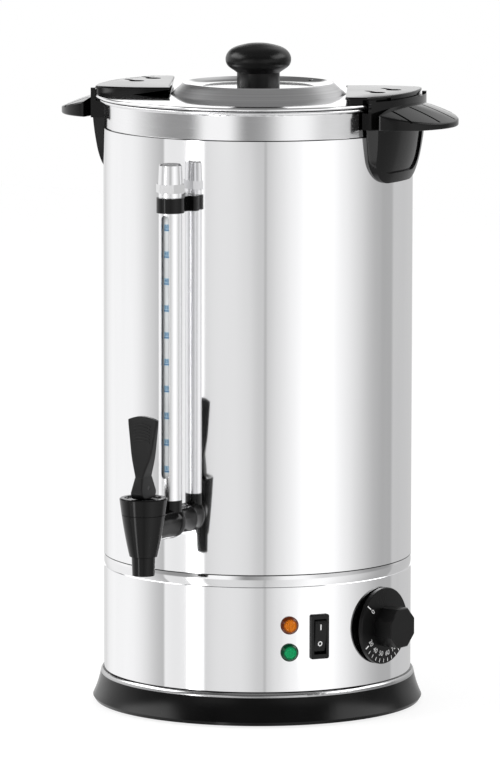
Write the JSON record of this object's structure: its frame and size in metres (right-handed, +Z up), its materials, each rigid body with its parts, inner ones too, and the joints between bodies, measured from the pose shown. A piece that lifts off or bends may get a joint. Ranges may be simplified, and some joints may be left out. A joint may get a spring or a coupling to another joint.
{
  "type": "hot water urn",
  "caption": "Tall round double-walled stainless hot water urn with a twist-lock lid, side handles, lever tap, slotted sight gauge, rocker switch, pilot lamps and a thermostat dial.",
  "frame": {"origin": "on the floor under the urn's upright axis, at the level of the foot pads", "axes": "+Z up, the tap points to -Y, the dial and one handle are on the +X side"},
  "size_m": [0.303, 0.3072, 0.4724],
  "materials": {
    "gloss_black": "gloss",
    "rubber_black": "matte",
    "polished_steel": "polished",
    "tank_steel": "satin",
    "zinc_steel": "bright zinc",
    "brass": "turned",
    "matte_black": "satin",
    "pale_plastic": "matte",
    "amber_lens": "translucent gloss",
    "green_lens": "translucent gloss",
    "chrome_plate": "mirror plated",
    "silicone": "soft matte",
    "clear_tube": "clear"
  },
  "bodies": {
    "urn": {"base_ring": "gloss_black", "foot_pads": "rubber_black", "base_trim_ring": "polished_steel", "base_plate": "tank_steel", "base_screws": "zinc_steel", "base_housing": "polished_steel", "joint_ring": "polished_steel", "outer_shell": "polished_steel", "inner_tank": "tank_steel", "heating_element": "tank_steel", "element_nuts": "brass", "thermal_cutout": "matte_black", "thermostat_body": "pale_plastic", "thermostat_bulb": "brass", "terminal_block": "pale_plastic", "cord_gland": "matte_black", "gland_nut": "zinc_steel", "lamp_amber": "amber_lens", "lamp_green": "green_lens", "lamp_clips": "zinc_steel", "switch_bezel": "matte_black", "gauge_tee": "gloss_black", "tap_washers": "silicone", "tap_nut": "brass", "tap_body": "gloss_black", "tap_cap": "gloss_black", "tap_spring": "zinc_steel", "gauge_glass": "clear_tube", "gauge_seals": "silicone", "gauge_guard": "chrome_plate", "gauge_cap": "chrome_plate", "gauge_clamp": "matte_black", "clamp_screw": "zinc_steel", "handle_left": "gloss_black", "handle_right": "gloss_black", "handle_screws": "zinc_steel"},
    "rocker": {"switch_rocker": "matte_black"},
    "dial": {"thermostat_knob": "matte_black", "thermostat_spindle": "zinc_steel"},
    "stem": {"tap_stem": "chrome_plate", "tap_seat_cup": "silicone", "lever_pin": "zinc_steel"},
    "lever": {"tap_lever": "matte_black"},
    "seal": {"lid_seal": "silicone"},
    "lid": {"lid_pan": "polished_steel", "lid_knob": "matte_black", "knob_screw": "zinc_steel", "lug_left": "gloss_black", "lug_right": "gloss_black", "lug_screws": "zinc_steel", "lug_nuts": "zinc_steel"}
  },
  "joints": [
    {"name": "tap_lift", "type": "slide", "parent": "urn", "child": "stem", "axis": [0, 0, 1], "range_m": [0, 0.0024], "stiffness_N_per_m": 600, "springref_m": -0.003, "deforming": ["tap_spring"]},
    {"name": "tap_pull", "type": "hinge", "parent": "stem", "child": "lever", "pos_m": [0, -0.1685, 0.1756], "axis": [1, 0, 0], "range_deg": [0, 32]},
    {"name": "switch_rock", "type": "hinge", "parent": "urn", "child": "rocker", "pos_m": [0.08507, -0.06815, 0.0628], "axis": [-0.6252, -0.7804, 0], "range_deg": [0, 16]},
    {"name": "dial_turn", "type": "hinge", "parent": "urn", "child": "dial", "pos_m": [0.10849, -0.01816, 0.065], "axis": [-0.9863, 0.165, 0], "range_deg": [0, 270]},
    {"name": "lid_lift", "type": "slide", "parent": "urn", "child": "seal", "axis": [0, 0, 1], "range_m": [0, 0.12]},
    {"name": "lid_turn", "type": "hinge", "parent": "seal", "child": "lid", "pos_m": [0, 0, 0.4354], "axis": [0, 0, -1], "range_deg": [0, 10]}
  ],
  "couplings": [
    {"joint": "tap_pull", "follows": "tap_lift", "rad_per_m": 232.56}
  ]
}
